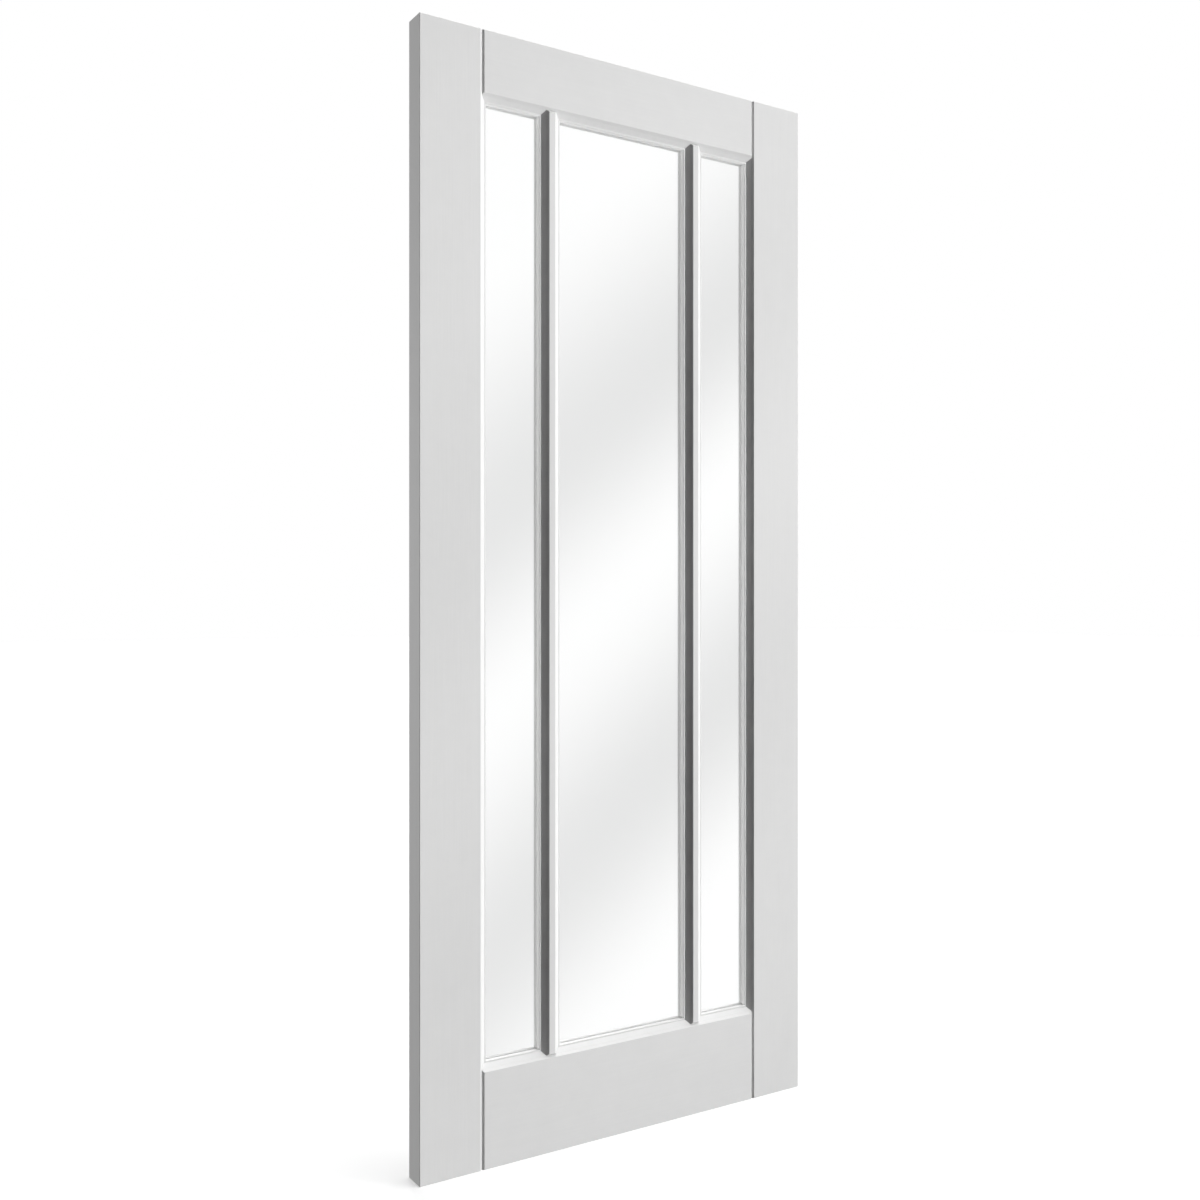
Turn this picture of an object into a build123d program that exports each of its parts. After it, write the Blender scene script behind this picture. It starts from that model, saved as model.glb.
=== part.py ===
"""Glazed interior door leaf with three upright lights side by side, painted white.

The leaf is a joinery frame. Two stiles run its full height, a top rail and a bottom rail are tenoned between
them, and two slim glazing bars are stub-tenoned between the rails. The arrises that face another member or a
light are chamfered, so a V-groove shows wherever two members butt. Each light holds one pane, gripped between
a ring of four mitred beads on the front and a like ring on the back, so both faces of the leaf look the same.

Frame: X across the leaf from its hinge edge, Y from front to back with the middle of the thickness at 0,
Z up from the bottom edge. Lengths are in millimetres.
"""

import os

from build123d import *

# Leaf
leaf_width = 838.0
leaf_height = 1981.0
leaf_thickness = 44.0
arris_radius = 1.0

# Members: the width of flat face that shows between their chamfers
stile_face = 115.2
top_rail_face = 109.0
bottom_rail_face = 169.4
bar_face = 12.4
chamfer_size = 3.6

# Lights: the width of glass that shows in each of the two side lights
side_light_sight = 107.2

# Bead section: a bevel that falls from the chamfers' foot, then a narrow land round the sight line
bevel_width = 8.4
bevel_fall = 6.8
land_width = 3.2
land_arris_radius = 0.8

# Glass
glass_thickness = 6.0
glass_edge_gap = 3.0

# Joints between members
tenon_thickness = 14.0
rail_tenon_length = 40.0
rail_tenon_inset = 20.0
bar_tenon_length = 10.0
joint_clearance = 0.25

# Worked out from the sizes above
half_thickness = leaf_thickness / 2
chamfer_foot = half_thickness - chamfer_size
land_level = chamfer_foot - bevel_fall
glass_face = glass_thickness / 2
bead_width = bevel_width + land_width
stile_width = stile_face + chamfer_size
bar_width = bar_face + 2 * chamfer_size
rails_start = stile_width
rails_end = leaf_width - stile_width
lights_bottom = bottom_rail_face + chamfer_size
lights_top = leaf_height - top_rail_face - chamfer_size
left_bar_start = stile_width + side_light_sight + 2 * bead_width
right_bar_start = leaf_width - left_bar_start - bar_width

# Each light is an opening between members, from its left side to its right side.
lights = {
    "left": (stile_width, left_bar_start),
    "centre": (left_bar_start + bar_width, right_bar_start),
    "right": (right_bar_start + bar_width, rails_end),
}
sides = ("left", "right", "bottom", "top")


def block(x_start, x_end, y_start, y_end, thickness):
    """A plain block drawn in elevation: x across, y up, and its thickness shared between front and back."""
    middle = Pos((x_start + x_end) / 2, (y_start + y_end) / 2)
    return middle * Box(x_end - x_start, y_end - y_start, thickness)


def arrises(shape, shape_sides):
    """The front and back arrises along the given sides of a block."""
    ends = {"left": (Axis.X, 0), "right": (Axis.X, -1), "bottom": (Axis.Y, 0), "top": (Axis.Y, -1)}
    found = []
    for face in shape.faces().filter_by(Axis.Z):
        for side in shape_sides:
            axis, end = ends[side]
            found.append(face.edges().sort_by(axis)[end])
    return found


def member(x_start, x_end, y_start, y_end, chamfered):
    """A stile, rail or bar: chamfered on the sides that meet something, and eased on the leaf's own edges."""
    eased = [side for side in sides if side not in chamfered]
    shape = block(x_start, x_end, y_start, y_end, leaf_thickness)
    shape = chamfer(arrises(shape, chamfered), chamfer_size)
    if eased:
        shape = fillet(arrises(shape, eased), arris_radius)
    return shape


def tenon(outline, clearance=0.0):
    """A tongue in the middle of the thickness. With a clearance it is the space that the tongue goes into."""
    x_start, x_end, y_start, y_end = outline
    grown = (x_start - clearance, x_end + clearance, y_start - clearance, y_end + clearance)
    return block(*grown, tenon_thickness + 2 * clearance)


def rail_tenons(y_start, y_end):
    """The outlines of a rail's two tenons, which go into the left stile and the right stile."""
    height = (y_start + rail_tenon_inset, y_end - rail_tenon_inset)
    left = (rails_start - rail_tenon_length, rails_start, *height)
    right = (rails_end, rails_end + rail_tenon_length, *height)
    return {"left_stile": left, "right_stile": right}


def bar_tenons(bar_start):
    """The outlines of a bar's two stub tenons, which go into the bottom rail and the top rail."""
    width = (bar_start + chamfer_size, bar_start + bar_width - chamfer_size)
    bottom = (*width, lights_bottom - bar_tenon_length, lights_bottom)
    top = (*width, lights_top, lights_top + bar_tenon_length)
    return {"bottom_rail": bottom, "top_rail": top}


def bead(light, side):
    """One front bead along one side of a light, mitred at both ends to meet its neighbours."""
    x_start, x_end = lights[light]
    width = x_end - x_start
    height = lights_top - lights_bottom
    place, length = {
        "bottom": (Pos(x_start, lights_bottom), width),
        "right": (Pos(x_end, lights_bottom) * Rot(0, 0, 90), height),
        "top": (Pos(x_end, lights_top) * Rot(0, 0, 180), width),
        "left": (Pos(x_start, lights_top) * Rot(0, 0, -90), height),
    }[side]
    back = [(0, glass_face), (bead_width, glass_face)]
    front = [(bead_width, land_level), (bevel_width, land_level), (0, chamfer_foot)]
    section = Polygon(*back, *front, align=None)
    inner_corners = section.vertices().sort_by(Axis.X)[-2:]
    section = fillet(inner_corners.sort_by(Axis.Y)[-1], land_arris_radius)
    strip = extrude(Plane.YZ * section, length, dir=(1, 0, 0))
    mitres = Polygon((0, 0), (length, 0), (length - bead_width, bead_width), (bead_width, bead_width), align=None)
    return place * (strip & extrude(mitres, half_thickness))


def pane(light):
    """One sheet of glass, clear of the members all round."""
    x_start, x_end = lights[light]
    gap = glass_edge_gap
    return block(x_start + gap, x_end - gap, lights_bottom + gap, lights_top - gap, glass_thickness)


parts = {
    "left_stile": member(0, stile_width, 0, leaf_height, ["right"]),
    "right_stile": member(rails_end, leaf_width, 0, leaf_height, ["left"]),
    "top_rail": member(rails_start, rails_end, lights_top, leaf_height, ["left", "right", "bottom"]),
    "bottom_rail": member(rails_start, rails_end, 0, lights_bottom, ["left", "right", "top"]),
    "left_glazing_bar": member(left_bar_start, left_bar_start + bar_width, lights_bottom, lights_top, sides),
    "right_glazing_bar": member(right_bar_start, right_bar_start + bar_width, lights_bottom, lights_top, sides),
}
tenons = {
    "top_rail": rail_tenons(lights_top, leaf_height),
    "bottom_rail": rail_tenons(0, lights_bottom),
    "left_glazing_bar": bar_tenons(left_bar_start),
    "right_glazing_bar": bar_tenons(right_bar_start),
}
for tenoned, outlines in tenons.items():
    for mortised, outline in outlines.items():
        parts[tenoned] += tenon(outline)
        parts[mortised] -= tenon(outline, joint_clearance)

for light in lights:
    parts[f"{light}_pane"] = pane(light)
    for side in sides:
        front_bead = bead(light, side)
        parts[f"{light}_pane_front_{side}_bead"] = front_bead
        parts[f"{light}_pane_back_{side}_bead"] = mirror(front_bead, about=Plane.XY)

# The pieces are drawn in elevation, with z out of the front face. Plane.XZ stands them up in the leaf's frame.
os.makedirs("parts", exist_ok=True)
for node, shape in parts.items():
    export_step(Plane.XZ * shape, f"parts/{node}.step")
    print(node, "volume", round(shape.volume), "mm3")
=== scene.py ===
# %% [markdown]
# # A white glazed door leaf
#
# The object is an interior door leaf by itself: two stiles, a top rail, a bottom rail and two slim glazing
# bars, painted white, with three tall panes of clear glass held between mitred beads. The imported model has
# every piece at its real size and in its real place. This lesson gives the timber its paint and its softened
# arrises, makes the panes glass, and sets up a small studio round the leaf.
#
# The model is loaded before anything else, and the box that it fills is kept.

# %% Load the leaf
import math

import bmesh
import bpy
from mathutils import Matrix, Vector


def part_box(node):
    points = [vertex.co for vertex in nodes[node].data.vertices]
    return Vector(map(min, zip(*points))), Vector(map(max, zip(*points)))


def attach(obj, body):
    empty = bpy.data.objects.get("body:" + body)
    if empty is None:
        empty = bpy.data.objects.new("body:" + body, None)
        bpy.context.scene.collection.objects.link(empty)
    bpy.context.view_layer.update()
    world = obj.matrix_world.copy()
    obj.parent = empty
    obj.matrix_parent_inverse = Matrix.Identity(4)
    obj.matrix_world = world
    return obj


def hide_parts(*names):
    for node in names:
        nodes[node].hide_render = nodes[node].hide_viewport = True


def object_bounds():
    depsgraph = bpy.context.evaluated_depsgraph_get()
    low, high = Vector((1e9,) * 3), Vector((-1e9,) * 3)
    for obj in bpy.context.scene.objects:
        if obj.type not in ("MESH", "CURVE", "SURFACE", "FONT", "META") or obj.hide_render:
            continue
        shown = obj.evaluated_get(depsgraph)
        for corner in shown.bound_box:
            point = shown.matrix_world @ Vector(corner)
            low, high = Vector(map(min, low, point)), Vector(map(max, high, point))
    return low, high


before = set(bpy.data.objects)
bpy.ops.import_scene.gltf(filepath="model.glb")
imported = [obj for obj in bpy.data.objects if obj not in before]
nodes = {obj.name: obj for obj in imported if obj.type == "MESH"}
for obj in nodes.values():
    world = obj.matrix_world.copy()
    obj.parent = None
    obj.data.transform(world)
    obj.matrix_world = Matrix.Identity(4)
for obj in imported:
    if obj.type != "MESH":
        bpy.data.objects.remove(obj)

scene = bpy.context.scene
cad_low, cad_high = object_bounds()
print("nodes:", len(nodes), "leaf:", [round(side, 4) for side in cad_high - cad_low], "m")

# %% [markdown]
# ## The camera
#
# The leaf stands upright and the picture's upright lines are parallel, so the camera looks level, from about
# the middle of the leaf's height. It stands to the left, where the hinge edge shows as a narrow strip and the
# far stile looks much shorter than the near one. A camera is aimed most safely by turning the direction that
# it looks along into a rotation: to_track_quat points its -Z that way and keeps its Y up.

# %% Camera
camera_place = Vector((-0.904, -2.010, 0.990))
camera_turn = math.radians(32.45)
camera_lens_mm = 38.5

looks_along = Vector((math.sin(camera_turn), math.cos(camera_turn), 0.0))
camera_data = bpy.data.cameras.new("camera")
camera_data.lens = camera_lens_mm
camera = bpy.data.objects.new("camera", camera_data)
camera.location = camera_place
camera.rotation_euler = looks_along.to_track_quat("-Z", "Y").to_euler()
scene.collection.objects.link(camera)
scene.camera = camera
scene.view_settings.view_transform = "Standard"
print("camera at", tuple(camera_place), "lens", camera_lens_mm, "mm")

# %% [markdown]
# ## Node trees in a few words
#
# Every finish here is a small network of nodes. Two helpers keep the later cells short: one adds a node and
# sets its inputs by their labels, the other starts a material with an empty tree and its output node.
#
# The third helper answers a question that a studio scene asks often: what kind of ray is asking? The Light
# Path node has one output for each kind, 1 for a ray of that kind and 0 for any other, and the largest of
# several is 1 where the ray is any of them. Camera, glossy and transmission rays show the background to the
# camera, straight on, by reflection and through glass. The rest only carry light from one surface to another,
# and so does a ray that went through the glass after it left a matt surface. Diffuse Depth counts such
# surfaces. It is compared with the second input of a Math node, which is 0.5 unless it is set, so only a
# depth of 0 is less.

# %% Helpers for node trees
def add_node(tree, kind, inputs=None, **settings):
    """Adds a shader node, sets the inputs given by label, and any other settings by name."""
    node = tree.nodes.new("ShaderNode" + kind)
    for setting, value in settings.items():
        setattr(node, setting, value)
    for label, value in (inputs or {}).items():
        node.inputs[label].default_value = value
    return node


def new_material(name):
    """An empty material. Gives the material, its tree and the surface socket of its output node."""
    material = bpy.data.materials.new(name)
    material.use_nodes = True
    material.node_tree.nodes.clear()
    output = add_node(material.node_tree, "OutputMaterial")
    return material, material.node_tree, output.inputs["Surface"]


def seen_by(tree, *kinds):
    """A socket that is 1 for rays of the kinds named that left no matt surface yet, and 0 for all others."""
    path = add_node(tree, "LightPath")
    socket = path.outputs[f"Is {kinds[0]} Ray"]
    for kind in kinds[1:]:
        larger = add_node(tree, "Math", operation="MAXIMUM")
        tree.links.new(socket, larger.inputs[0])
        tree.links.new(path.outputs[f"Is {kind} Ray"], larger.inputs[1])
        socket = larger.outputs[0]
    no_matt_yet = add_node(tree, "Math", operation="LESS_THAN")
    both = add_node(tree, "Math", operation="MULTIPLY")
    tree.links.new(path.outputs["Diffuse Depth"], no_matt_yet.inputs[0])
    tree.links.new(socket, both.inputs[0])
    tree.links.new(no_matt_yet.outputs[0], both.inputs[1])
    return both.outputs[0]


print("helpers ready")

# %% [markdown]
# ## The air of the studio
#
# A white painted leaf against pure white only reads if its faces stay a little darker than the background. So
# the background is white where it is seen, and gives only a faint fill where it lights the leaf. One world
# does both: its strength goes from one value to the other with the kind of ray.

# %% World
fill_strength = 0.02
seen_strength = 1.0

world = bpy.data.worlds.new("studio_air")
world.use_nodes = True
world.node_tree.nodes.clear()
scene.world = world
air = add_node(world.node_tree, "Background", {"Color": (1.0, 1.0, 1.0, 1.0)})
air_output = add_node(world.node_tree, "OutputWorld")
strength = add_node(world.node_tree, "Mix", {"A": fill_strength, "B": seen_strength}, data_type="FLOAT")
seen = seen_by(world.node_tree, "Camera", "Glossy", "Transmission")
world.node_tree.links.new(seen, strength.inputs["Factor"])
world.node_tree.links.new(strength.outputs["Result"], air.inputs["Strength"])
world.node_tree.links.new(air.outputs["Background"], air_output.inputs["Surface"])
print("world fill", fill_strength, "seen", seen_strength)

# %% [markdown]
# ## From the bench to the scene
#
# Every mesh in this lesson is worked in bmesh, Blender's own library for editing meshes. It keeps a mesh in
# memory, on what is called a bench here, until it is written out. One more helper writes it, gives it its
# material and links the new object to the scene. The object stays at the origin, unturned and unscaled.

# %% Helper for objects
def add_object(bench, name, material):
    """Writes a bench out as an object of one material, and frees the bench."""
    mesh = bpy.data.meshes.new(name)
    bench.to_mesh(mesh)
    bench.free()
    mesh.materials.append(material)
    added = bpy.data.objects.new(name, mesh)
    scene.collection.objects.link(added)
    return added


print("object helper ready")

# %% [markdown]
# ## The floor
#
# The leaf stands on a plain pale floor. Seen by the camera, the floor is a matt pale grey with a soft glow of
# its own, which lifts it to the white of the background, while the leaf still leaves its shadow there. In the
# gloss and through the glass it is as white as the air, so that no horizon crosses the panes. For rays that
# only carry light it is darker and has no glow, because a real white floor would throw light up under the
# mouldings and lift the bottom of the leaf, and there it is in fact a little darker than the top.

# %% Floor
floor_reach = 30.0
floor_seen = 0.60
floor_bounce = 0.05
floor_glow = 0.47

floor_paint, tree, surface = new_material("studio_floor")
seen = seen_by(tree, "Camera")
tone = add_node(tree, "Mix", {"A": floor_bounce, "B": floor_seen}, data_type="FLOAT")
glow = add_node(tree, "Mix", {"A": 0.0, "B": floor_glow}, data_type="FLOAT")
matt = add_node(tree, "BsdfDiffuse")
lift = add_node(tree, "Emission")
lifted = add_node(tree, "AddShader")
white = add_node(tree, "Emission", {"Strength": seen_strength})
either = add_node(tree, "MixShader")
tree.links.new(seen, tone.inputs["Factor"])
tree.links.new(seen, glow.inputs["Factor"])
tree.links.new(tone.outputs["Result"], matt.inputs["Color"])
tree.links.new(glow.outputs["Result"], lift.inputs["Strength"])
tree.links.new(matt.outputs["BSDF"], lifted.inputs[0])
tree.links.new(lift.outputs["Emission"], lifted.inputs[1])
tree.links.new(seen_by(tree, "Glossy", "Transmission"), either.inputs["Fac"])
tree.links.new(lifted.outputs[0], either.inputs[1])
tree.links.new(white.outputs["Emission"], either.inputs[2])
tree.links.new(either.outputs["Shader"], surface)
floor_paint.cycles.emission_sampling = "NONE"

bench = bmesh.new()
bmesh.ops.create_grid(bench, x_segments=1, y_segments=1, size=floor_reach)
floor = add_object(bench, "studio_floor", floor_paint)
floor.visible_shadow = False
print("floor", 2 * floor_reach, "m square")

# %% [markdown]
# ## The lamps
#
# The mouldings tell where the light comes from. Slopes that face right are bright, slopes that face left are
# dark, and the steep left-facing chamfers get almost nothing: the main lamp stands in front and to the right,
# nearly level. Slopes that face up are bright too, so a soft light hangs overhead, and slopes that face down
# are hardly darker than the face, so some light comes up from the right as well. The hinge edge, which faces
# left, is a middle grey, lit by a lamp to the left and behind that doesn't reach the front face. The last of
# the suns is there for the back of the leaf.
#
# A sun lamp lights a surface that faces it with its strength divided by pi, the same everywhere, so the
# values below are written as the light that reaches such a surface, and the angle makes each one soft. With
# multiple importance off, a lamp is sampled only from the matt surfaces that it lights, and its round disc
# never shows in the glass.

# %% Lamps
def add_lamp(name, towards, light, softness):
    """A sun lamp in the direction given, which lights a surface that faces it by this much."""
    lamp_data = bpy.data.lights.new(name, "SUN")
    lamp_data.energy = math.pi * light
    lamp_data.angle = math.radians(softness)
    lamp_data.cycles.use_multiple_importance_sampling = False
    lamp_object = bpy.data.objects.new(name, lamp_data)
    lamp_object.rotation_euler = Vector(towards).to_track_quat("Z", "Y").to_euler()
    scene.collection.objects.link(lamp_object)
    print(name, "light", light, "softness", softness, "degrees")
    return lamp_object


add_lamp("right_front_lamp", towards=(0.735, -0.675, 0.06), light=0.90, softness=6)
add_lamp("low_right_lamp", towards=(0.40, -0.32, -0.85), light=0.27, softness=12)
add_lamp("overhead_light", towards=(0.10, -0.05, 1.0), light=0.82, softness=20)
add_lamp("left_lamp", towards=(-0.66, 0.75, 0.05), light=0.44, softness=12)
add_lamp("back_lamp", towards=(0.32, 0.84, 0.44), light=0.40, softness=12)

# %% [markdown]
# ## A soft box near the top
#
# The leaf is a little brighter at its top than at its foot, and its far stile a little brighter than the near
# one. A sun can't do that, because it is equally strong everywhere. An area lamp can, because its light fades
# with distance: a square soft box hangs high in front of the leaf, to its right, and looks at its middle.

# %% Soft box
soft_box_place = Vector((1.5, -1.5, 2.6))
soft_box_side = 0.8
soft_box_watts = 4.0

soft_box_data = bpy.data.lights.new("soft_box", "AREA")
soft_box_data.size = soft_box_side
soft_box_data.energy = soft_box_watts
soft_box_data.cycles.use_multiple_importance_sampling = False
soft_box = bpy.data.objects.new("soft_box", soft_box_data)
soft_box.location = soft_box_place
soft_box.rotation_euler = ((cad_low + cad_high) / 2 - soft_box_place).to_track_quat("-Z", "Y").to_euler()
soft_box.visible_camera = False
scene.collection.objects.link(soft_box)
print("soft box of", soft_box_watts, "watts at", tuple(soft_box_place))

# %% [markdown]
# ## White satin paint on timber
#
# The members are primed and sprayed with a white satin paint. Sprayed paint is never one flat colour: it is
# slightly mottled where it lies thicker, its surface has a fine orange peel, and the fibres of the timber
# telegraph through as faint lines along each member. All three are noise, read in Object coordinates. For the
# fibres, a Mapping node squeezes the coordinates along the member, which draws the noise out into streaks.
#
# There are two paints, because the grain runs upright in the stiles, bars and upright beads and level in the
# rails and level beads, and at the joints the two directions meet.

# %% Paint
paint_thin = (0.757, 0.757, 0.754, 1.0)
paint_thick = (0.833, 0.833, 0.830, 1.0)
paint_roughness_low = 0.48
paint_roughness_high = 0.60
paint_ior = 1.45
paint_specular = 0.25
mottle_scale = 22.0
mottle_detail = 4.0
fibre_scale = 300.0
fibre_detail = 3.0
fibre_squeeze = 0.03
fibre_share = 0.4
fibre_depth = 0.00010
peel_scale = 650.0
peel_detail = 2.0
peel_depth = 0.00004
noise_roughness = 0.6
peel_noise_roughness = 0.5


def painted_timber(name, fibres_along):
    """Satin paint over timber whose fibres run along X or Z."""
    material, tree, surface = new_material(name)
    paint = add_node(tree, "BsdfPrincipled", {"IOR": paint_ior, "Specular IOR Level": paint_specular})
    place = add_node(tree, "TexCoord")
    squeeze = [fibre_squeeze if axis == fibres_along else 1.0 for axis in "XYZ"]
    drawn_out = add_node(tree, "Mapping", {"Scale": squeeze})
    mottle = add_node(tree, "TexNoise", {"Scale": mottle_scale, "Detail": mottle_detail,
                                         "Roughness": noise_roughness})
    fibres = add_node(tree, "TexNoise", {"Scale": fibre_scale, "Detail": fibre_detail,
                                         "Roughness": noise_roughness})
    peel = add_node(tree, "TexNoise", {"Scale": peel_scale, "Detail": peel_detail,
                                       "Roughness": peel_noise_roughness})
    blend = add_node(tree, "Mix", {"Factor": fibre_share}, data_type="FLOAT")
    colour = add_node(tree, "Mix", {"A": paint_thin, "B": paint_thick}, data_type="RGBA")
    roughness = add_node(tree, "MapRange", {"To Min": paint_roughness_low, "To Max": paint_roughness_high})
    fibre_bump = add_node(tree, "Bump", {"Distance": fibre_depth})
    peel_bump = add_node(tree, "Bump", {"Distance": peel_depth})
    tree.links.new(place.outputs["Object"], drawn_out.inputs["Vector"])
    tree.links.new(place.outputs["Object"], mottle.inputs["Vector"])
    tree.links.new(place.outputs["Object"], peel.inputs["Vector"])
    tree.links.new(drawn_out.outputs["Vector"], fibres.inputs["Vector"])
    tree.links.new(mottle.outputs["Fac"], blend.inputs["A"])
    tree.links.new(fibres.outputs["Fac"], blend.inputs["B"])
    tree.links.new(blend.outputs["Result"], colour.inputs["Factor"])
    tree.links.new(colour.outputs["Result"], paint.inputs["Base Color"])
    tree.links.new(mottle.outputs["Fac"], roughness.inputs["Value"])
    tree.links.new(roughness.outputs["Result"], paint.inputs["Roughness"])
    tree.links.new(fibres.outputs["Fac"], fibre_bump.inputs["Height"])
    tree.links.new(peel.outputs["Fac"], peel_bump.inputs["Height"])
    tree.links.new(fibre_bump.outputs["Normal"], peel_bump.inputs["Normal"])
    tree.links.new(peel_bump.outputs["Normal"], paint.inputs["Normal"])
    tree.links.new(paint.outputs["BSDF"], surface)
    print(name, "nodes", len(tree.nodes))
    return material


upright_paint = painted_timber("paint_on_upright_grain", "Z")
level_paint = painted_timber("paint_on_level_grain", "X")

# %% [markdown]
# ## Timber with eased arrises
#
# A real arris is never razor sharp: sandpaper takes its edge off and the paint rounds it further, and that is
# what makes a joint between two painted members read as a fine line. The members could be modelled afresh,
# but their shapes are already right, so each one is copied, and only its arrises are worked.
#
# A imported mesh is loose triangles, so the copy is merged first, and its flat faces are dissolved back into
# single faces. Then every outward edge that turns by more than the arris angle is bevelled a fraction of a
# millimetre. The bevel cuts corners off and adds nothing, so the piece still fits its neighbours. Merging and
# bevelling are helpers of their own, because the panes need them too.

# %% Eased timber
merge_distance = 0.00001
flat_angle = math.radians(0.5)
arris_angle = math.radians(35)
member_arris = 0.0005
bead_arris = 0.0003
arris_segments = 2
round_profile = 0.5


def merged_copy(node):
    """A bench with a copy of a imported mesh, merged, and with its flat faces whole again."""
    bench = bmesh.new()
    bench.from_mesh(nodes[node].data)
    bmesh.ops.remove_doubles(bench, verts=bench.verts, dist=merge_distance)
    bmesh.ops.dissolve_limit(bench, angle_limit=flat_angle, verts=bench.verts, edges=bench.edges)
    return bench


def ease(bench, edges, width, segments):
    """Bevels the edges given by this width, and turns every face outwards."""
    bmesh.ops.bevel(bench, geom=edges, offset=width, offset_type="OFFSET", segments=segments,
                    profile=round_profile, affect="EDGES", material=-1, clamp_overlap=True)
    bmesh.ops.recalc_face_normals(bench, faces=bench.faces)


def eased_timber(node, arris):
    """A copy of a timber node with its arrises eased, painted along its grain, in the node's place."""
    low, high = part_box(node)
    bench = merged_copy(node)
    outward = [edge for edge in bench.edges if edge.is_manifold and edge.is_convex]
    arrises = [edge for edge in outward if edge.calc_face_angle() > arris_angle]
    ease(bench, arrises, width=arris, segments=arris_segments)
    upright = high.z - low.z > high.x - low.x
    piece = add_object(bench, "painted_" + node, upright_paint if upright else level_paint)
    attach(piece, "root")
    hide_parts(node)
    return piece


timber = {}
for node in nodes:
    if node.endswith("_pane"):
        continue
    arris = bead_arris if node.endswith("_bead") else member_arris
    timber[node] = eased_timber(node, arris)
print("timber pieces:", len(timber), "faces:", sum(len(piece.data.polygons) for piece in timber.values()))

# %% [markdown]
# ## The backdrop's glow on the beads
#
# Each bead ends in a narrow wall that stands square to the glass. In a white studio the backdrop and the
# floor shine through the panes onto these walls, so they are about as bright as the face of the leaf, while
# the hinge edge, which faces the same way as some of them, stays grey. A lamp can be given to some pieces
# alone by light linking: its receivers are a collection. The walls that face left are those of the right-hand
# beads, and the walls that face down those of the top beads. Each set has a lamp square to its length, so
# that the corners don't shade its ends. It stands behind the leaf for the front beads and in front for the
# back ones, so that its light comes through the glass and doesn't fall on a bevel.

# %% Glow on the beads
glow_softness = 12


def add_glow(face, side, towards, light):
    """A lamp that lights nothing but the beads on one face of the leaf and one side of its panes."""
    lit_beads = bpy.data.collections.new(f"{face}_{side}_beads")
    for node, piece in timber.items():
        if node.endswith(f"_{face}_{side}_bead"):
            lit_beads.objects.link(piece)
    glow_lamp = add_lamp(f"glow_on_{face}_{side}_beads", towards=towards, light=light, softness=glow_softness)
    glow_lamp.light_linking.receiver_collection = lit_beads


add_glow("front", "right", towards=(-0.72, 0.69, 0.0), light=0.80)
add_glow("front", "top", towards=(0.0, 0.66, -0.75), light=0.76)
add_glow("back", "right", towards=(-0.72, -0.69, 0.0), light=0.80)
add_glow("back", "top", towards=(0.0, -0.66, -0.75), light=0.70)

# %% [markdown]
# ## Clear glass
#
# Each pane is a flat sheet of toughened glass with ground arrises, bedded between the beads on thin tape.
# Clear glass in a studio still shows, because it dims what is behind it a little and reflects what is in
# front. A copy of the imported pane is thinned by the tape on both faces, because two surfaces that lie in
# exactly the same plane flicker in a render.
#
# Light from a lamp reaches through a window in a straight line, but a path tracer finds that hard through
# real refraction. So for shadow rays the glass is a Transparent shader, and lamps shine through it. Rays that
# have just left a matt surface get the same shader: light between surfaces goes nearly straight through a
# flat sheet too, and this way it brings no noise.

# %% Glass
glass_tint = (0.872, 0.876, 0.874, 1.0)
glass_ior = 1.80
glass_lets_light_through = (0.92, 0.92, 0.92, 1.0)

glass, tree, surface = new_material("clear_glass")
clear = add_node(tree, "BsdfPrincipled", {"Base Color": glass_tint, "Roughness": 0.0, "IOR": glass_ior,
                                          "Transmission Weight": 1.0})
open_air = add_node(tree, "BsdfTransparent", {"Color": glass_lets_light_through})
path = add_node(tree, "LightPath")
for_lamps = add_node(tree, "MixShader")
for_bounces = add_node(tree, "MixShader")
tree.links.new(path.outputs["Is Shadow Ray"], for_lamps.inputs["Fac"])
tree.links.new(clear.outputs["BSDF"], for_lamps.inputs[1])
tree.links.new(open_air.outputs["BSDF"], for_lamps.inputs[2])
tree.links.new(path.outputs["Is Diffuse Ray"], for_bounces.inputs["Fac"])
tree.links.new(for_lamps.outputs["Shader"], for_bounces.inputs[1])
tree.links.new(open_air.outputs["BSDF"], for_bounces.inputs[2])
tree.links.new(for_bounces.outputs["Shader"], surface)

tape_thickness = 0.0001
pane_arris = 0.0005


def taped_pane(node):
    """A copy of a pane with ground arrises, thinned on both faces by the tape that beds it."""
    low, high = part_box(node)
    bench = merged_copy(node)
    thinner = Matrix.Diagonal((1.0, 1.0 - 2 * tape_thickness / (high.y - low.y), 1.0, 1.0))
    bmesh.ops.transform(bench, matrix=thinner, verts=bench.verts)
    ease(bench, bench.edges[:], width=pane_arris, segments=1)
    piece = add_object(bench, "glass_" + node, glass)
    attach(piece, "root")
    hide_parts(node)
    return piece


panes = [taped_pane(node) for node in nodes if node.endswith("_pane")]
print("panes:", [pane.name for pane in panes])

# %% [markdown]
# ## What the glass reflects
#
# Two broad soft grey bands cross all three panes on one diagonal, as one reflection would. They are the dim
# gaps between bright screens in front of the leaf. So the bands aren't painted on the glass: a card stands in
# front of the leaf, seen by glossy rays alone, and glows with those bright and dim bands.
#
# The card is parallel to the leaf, so the camera sees it in the glass as if it stood as far behind the leaf
# as it is in front. To look right on the glass, the picture on the card has to be larger by that share of the
# camera's distance, and it grows away from the point straight in front of the camera.

# %% Reflected bands
card_distance = 0.15
band_slope = math.radians(51)
band_glow = 2.35
bright = 1.0
dim = 0.0
# Where the bands turn, measured on the glass across their slope from the bottom of the hinge edge
band_turns = ((-0.10, bright), (0.20, dim), (0.52, bright), (0.79, dim), (1.14, bright))

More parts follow.
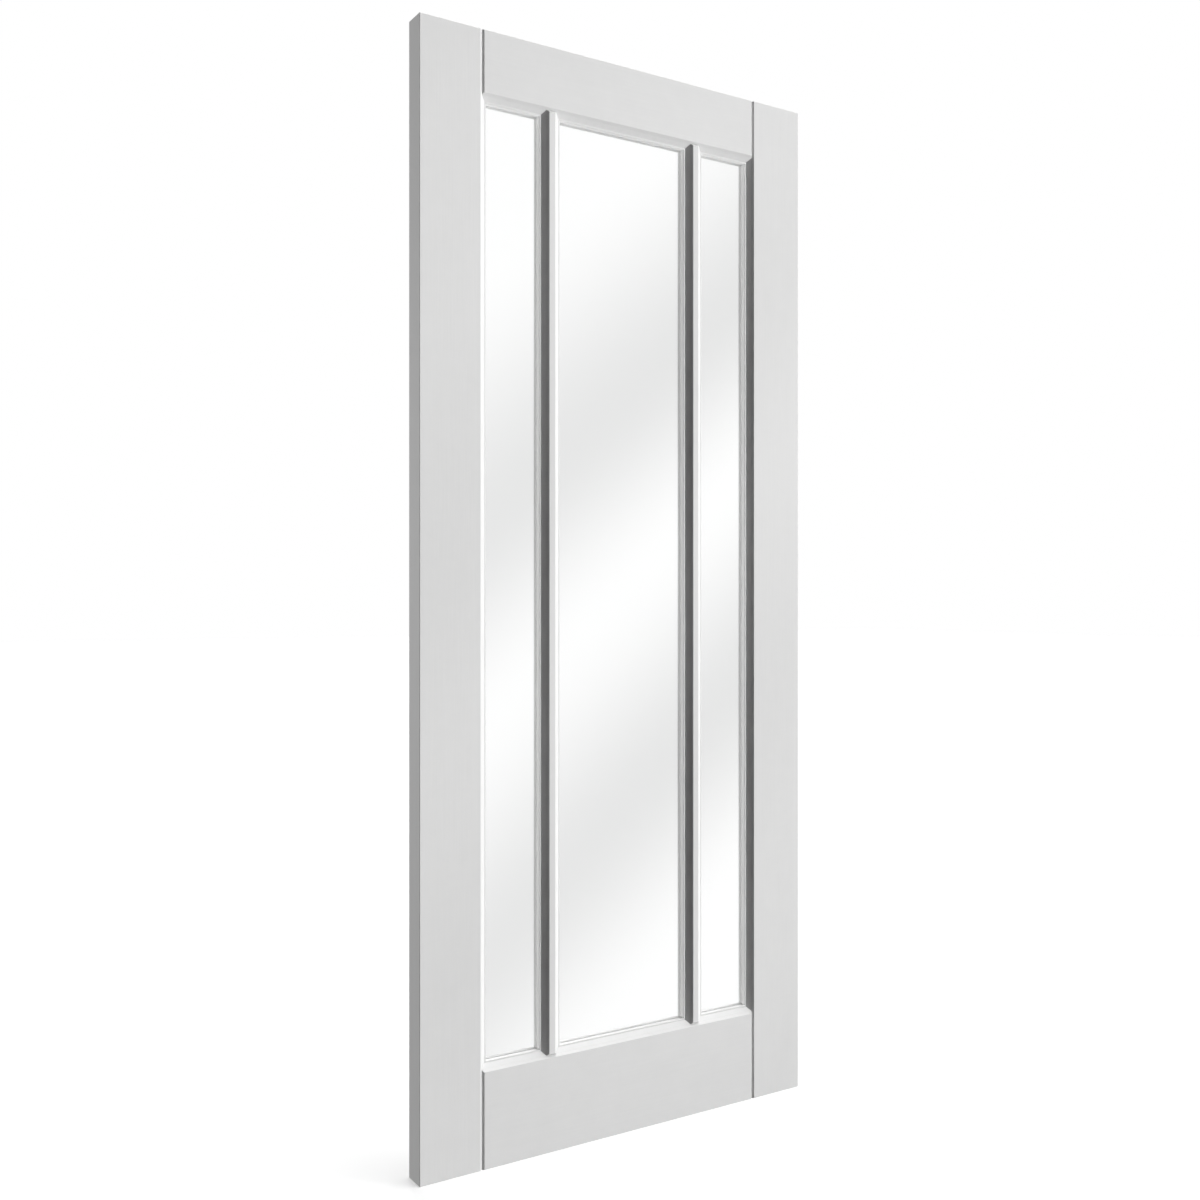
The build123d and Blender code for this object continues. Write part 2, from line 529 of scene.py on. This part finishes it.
camera_distance = -camera_place.y
growth = 1 + card_distance / camera_distance
across_bands = Vector((-math.cos(band_slope), 0.0, math.sin(band_slope)))
camera_across = camera_place.dot(across_bands)
first_turn = band_turns[0][0]
last_turn = band_turns[-1][0]


def on_card(turn):
    """Where a turn of the bands on the glass lies on the card."""
    return camera_across + (turn - camera_across) * growth


bands, tree, surface = new_material("studio_screens")
place = add_node(tree, "TexCoord")
across = add_node(tree, "VectorMath", operation="DOT_PRODUCT")
across.inputs[1].default_value = across_bands
share = add_node(tree, "MapRange", {"From Min": on_card(first_turn), "From Max": on_card(last_turn)})
ramp = add_node(tree, "ValToRGB")
ramp.color_ramp.interpolation = "EASE"
for turn, level in band_turns[1:-1]:
    stop = ramp.color_ramp.elements.new((turn - first_turn) / (last_turn - first_turn))
    stop.color = (level, level, level, 1.0)
ramp.color_ramp.elements[0].color = (bright, bright, bright, 1.0)
ramp.color_ramp.elements[-1].color = (bright, bright, bright, 1.0)
strength = add_node(tree, "MapRange", {"To Min": 0.0, "To Max": band_glow})
tree.links.new(place.outputs["Object"], across.inputs[0])
tree.links.new(across.outputs["Value"], share.inputs["Value"])
tree.links.new(share.outputs["Result"], ramp.inputs["Fac"])
tree.links.new(ramp.outputs["Color"], strength.inputs["Value"])
card_turns = [round(on_card(turn), 3) for turn, level in band_turns]
print("bands grow by", round(growth, 3), "and turn on the card at", card_turns)

# %% [markdown]
# ## A rim that doesn't show
#
# A card that glows more or less than the air would end in a hard line in the glass. So its glow fades to that
# of the air before its rim. A Mapping node of the texture kind measures from the card's centre in shares of
# its half width and half height. Squared, and then multiplied by itself as a dot product, that gives the sum
# of their fourth powers, which reaches 1 along a rounded rectangle that just fits the card. A smooth step
# over the last of it is the fade.
#
# The card is made as a square of one metre, because the size of a grid is half its side. A matrix stretches
# it to its width and height, stands it up and moves it to its place, all on the bench.

# %% The card's soft rim
card_width = 1.3
card_height = 2.06
card_centre = Vector((0.52, -card_distance, 1.03))
fade_starts = 0.6

half_card = (card_width / 2, 1.0, card_height / 2)
centred = add_node(tree, "Mapping", {"Location": card_centre, "Scale": half_card}, vector_type="TEXTURE")
squared = add_node(tree, "VectorMath", operation="MULTIPLY")
fourth_powers = add_node(tree, "VectorMath", operation="DOT_PRODUCT")
rim = add_node(tree, "MapRange", {"From Min": fade_starts, "From Max": 1.0}, interpolation_type="SMOOTHSTEP")
faded = add_node(tree, "Mix", {"B": seen_strength}, data_type="FLOAT")
seen = add_node(tree, "Math", operation="MULTIPLY")
glow = add_node(tree, "Emission")
tree.links.new(place.outputs["Object"], centred.inputs["Vector"])
for factor in (0, 1):
    tree.links.new(centred.outputs["Vector"], squared.inputs[factor])
    tree.links.new(squared.outputs["Vector"], fourth_powers.inputs[factor])
tree.links.new(fourth_powers.outputs["Value"], rim.inputs["Value"])
tree.links.new(rim.outputs["Result"], faded.inputs["Factor"])
tree.links.new(strength.outputs["Result"], faded.inputs["A"])
tree.links.new(faded.outputs["Result"], seen.inputs[0])
tree.links.new(seen_by(tree, "Glossy"), seen.inputs[1])
tree.links.new(seen.outputs[0], glow.inputs["Strength"])
tree.links.new(glow.outputs["Emission"], surface)
bands.cycles.emission_sampling = "NONE"

half_a_metre = 0.5
stretched = Matrix.Diagonal((card_width, card_height, 1.0, 1.0))
stood_up = Matrix.Translation(card_centre) @ Matrix.Rotation(math.radians(90), 4, "X")
bench = bmesh.new()
bmesh.ops.create_grid(bench, x_segments=1, y_segments=1, size=half_a_metre, matrix=stood_up @ stretched)
card = add_object(bench, "studio_screens", bands)
card.visible_camera = False
card.visible_diffuse = False
card.visible_transmission = False
card.visible_shadow = False
print("card of", card_width, "by", card_height, "m")

# %% [markdown]
# ## The last measure
#
# The finished leaf has to fill the same box as the imported one. The imported box is printed.

# %% Measure
print("packed", list(cad_low), list(cad_high))
